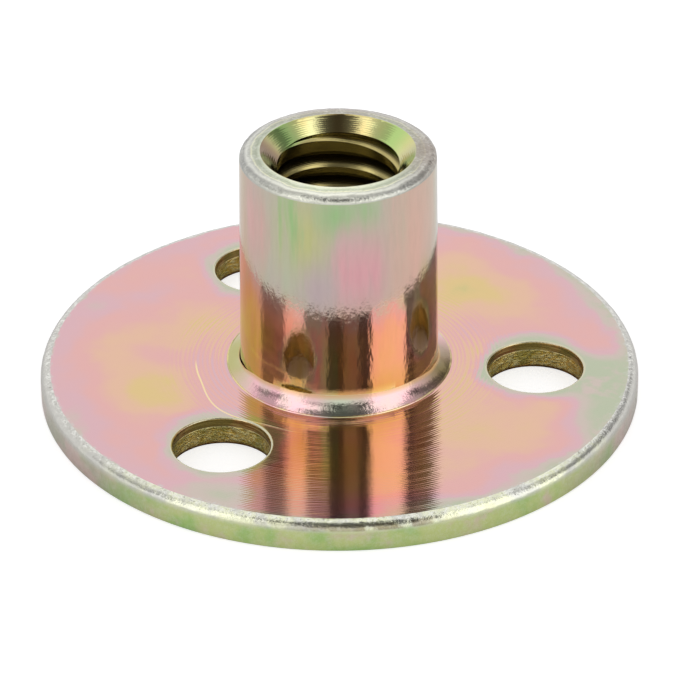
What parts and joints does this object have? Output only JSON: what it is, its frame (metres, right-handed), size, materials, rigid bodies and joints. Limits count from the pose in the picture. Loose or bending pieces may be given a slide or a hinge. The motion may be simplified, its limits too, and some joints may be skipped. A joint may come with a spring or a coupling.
{
  "type": "tee nut",
  "caption": "Screw-on tee nut: a round sheet flange with punched screw holes carries a raised, internally threaded barrel with a countersunk mouth.",
  "frame": {"origin": "centre of the flange's underside, on the barrel's axis", "axes": "+Z along the barrel towards its mouth; +X through the centre of one screw hole"},
  "size_m": [0.025, 0.025, 0.0112],
  "materials": {
    "yellow_zinc": "zinc plated steel with an iridescent yellow chromate film, smooth and glossy, worn to bare silver along the edges"
  },
  "bodies": {
    "root": {"tee_nut": "yellow_zinc"}
  },
  "joints": []
}
